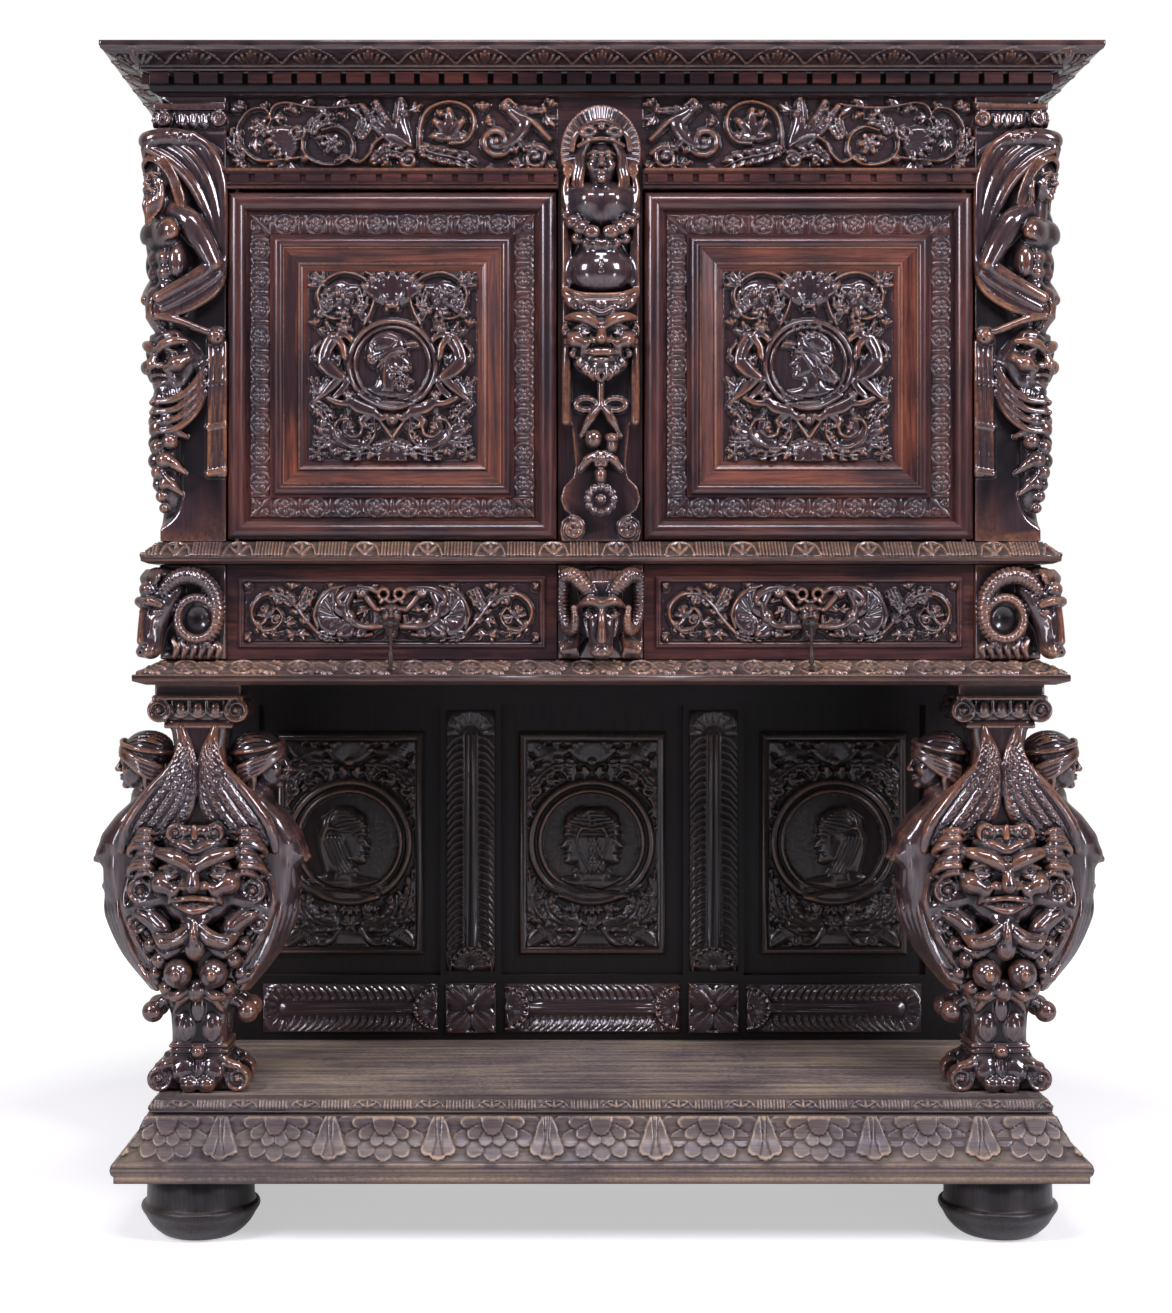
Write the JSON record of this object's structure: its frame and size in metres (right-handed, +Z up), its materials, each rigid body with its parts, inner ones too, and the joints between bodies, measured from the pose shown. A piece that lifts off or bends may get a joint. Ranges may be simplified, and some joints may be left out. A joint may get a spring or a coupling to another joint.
{
  "type": "carved buffet cabinet",
  "caption": "Carved Renaissance-style wooden buffet with hinged cabinet doors, sliding drawers with drop pulls, figured corner posts and sphinx supports over an open shelf on bun feet.",
  "frame": {"origin": "middle of the floor area under the feet", "axes": "+X to the viewer's right, +Y to the back, +Z up; the doors and drawers face -Y"},
  "size_m": [1.56, 0.56, 1.804],
  "materials": {
    "walnut_dark": "dark waxed walnut",
    "walnut_red": "reddish waxed walnut",
    "walnut_dusty": "dark walnut with a dusty bloom",
    "plain_wood": "plain unpolished walnut",
    "iron": "blackened iron"
  },
  "bodies": {
    "carcase": {"bun_feet": "walnut_dusty", "base_front_moulding": "walnut_dusty", "base_side_mouldings": "walnut_dusty", "shelf_board": "walnut_dusty", "base_back_rail": "plain_wood", "drawer_case_back": "plain_wood", "drawer_divider": "plain_wood", "drawer_guides": "plain_wood", "cabinet_shelf": "plain_wood", "cabinet_back": "plain_wood", "top_board": "plain_wood", "drawer_ledge": "walnut_dark", "waist_ledge": "walnut_dark", "back_uprights": "walnut_dark", "back_top_rail": "walnut_dark", "back_bottom_rail": "walnut_dark", "back_panel_left": "walnut_dark", "back_panel_centre": "walnut_dark", "back_panel_right": "walnut_dark", "support_left": "walnut_dark", "support_right": "walnut_dark", "support_left_mask": "walnut_dark", "support_right_mask": "walnut_dark", "sphinxes_left": "walnut_dark", "sphinxes_right": "walnut_dark", "ram_head_left": "walnut_dark", "ram_head_right": "walnut_dark", "ram_mask_centre": "walnut_dark", "drawer_case_sides": "walnut_dark", "corner_post_left": "walnut_dark", "corner_post_right": "walnut_dark", "herm_left": "walnut_dark", "herm_right": "walnut_dark", "centre_herm": "walnut_dark", "centre_stile": "walnut_dark", "cabinet_left_side": "walnut_dark", "cabinet_right_side": "walnut_dark", "frieze_rail": "walnut_dark", "door_lintels": "walnut_dark", "cornice_front": "walnut_dark", "cornice_sides": "walnut_dark"},
    "door_left": {"door_left_frame": "walnut_red", "door_left_panel": "walnut_red", "door_left_pivots": "iron"},
    "door_right": {"door_right_frame": "walnut_red", "door_right_panel": "walnut_red", "door_right_pivots": "iron", "lock_case": "iron", "keyhole_plate": "iron"},
    "lock_bolt": {"lock_bolt": "iron"},
    "drawer_left": {"drawer_left_front": "walnut_dark", "drawer_left_box": "plain_wood", "drawer_left_crest": "walnut_dark", "drawer_left_pull_plate": "iron"},
    "drawer_right": {"drawer_right_front": "walnut_dark", "drawer_right_box": "plain_wood", "drawer_right_crest": "walnut_dark", "drawer_right_pull_plate": "iron"},
    "pull_left": {"drawer_left_pull": "iron"},
    "pull_right": {"drawer_right_pull": "iron"}
  },
  "joints": [
    {"name": "door_left_hinge", "type": "hinge", "parent": "carcase", "child": "door_left", "pos_m": [-0.552, -0.201, 1.33], "axis": [0, 0, -1], "range_deg": [0, 95]},
    {"name": "door_right_hinge", "type": "hinge", "parent": "carcase", "child": "door_right", "pos_m": [0.552, -0.201, 1.33], "axis": [0, 0, 1], "range_deg": [0, 95]},
    {"name": "lock_bolt_throw", "type": "slide", "parent": "door_right", "child": "lock_bolt", "axis": [-1, 0, 0], "range_m": [0, 0.016]},
    {"name": "drawer_left_slide", "type": "slide", "parent": "carcase", "child": "drawer_left", "axis": [0, -1, 0], "range_m": [0, 0.3]},
    {"name": "drawer_right_slide", "type": "slide", "parent": "carcase", "child": "drawer_right", "axis": [0, -1, 0], "range_m": [0, 0.3]},
    {"name": "pull_left_swing", "type": "hinge", "parent": "drawer_left", "child": "pull_left", "pos_m": [-0.317, -0.23, 0.9379], "axis": [-1, 0, 0], "range_deg": [0, 80]},
    {"name": "pull_right_swing", "type": "hinge", "parent": "drawer_right", "child": "pull_right", "pos_m": [0.317, -0.23, 0.9379], "axis": [-1, 0, 0], "range_deg": [0, 80]}
  ]
}
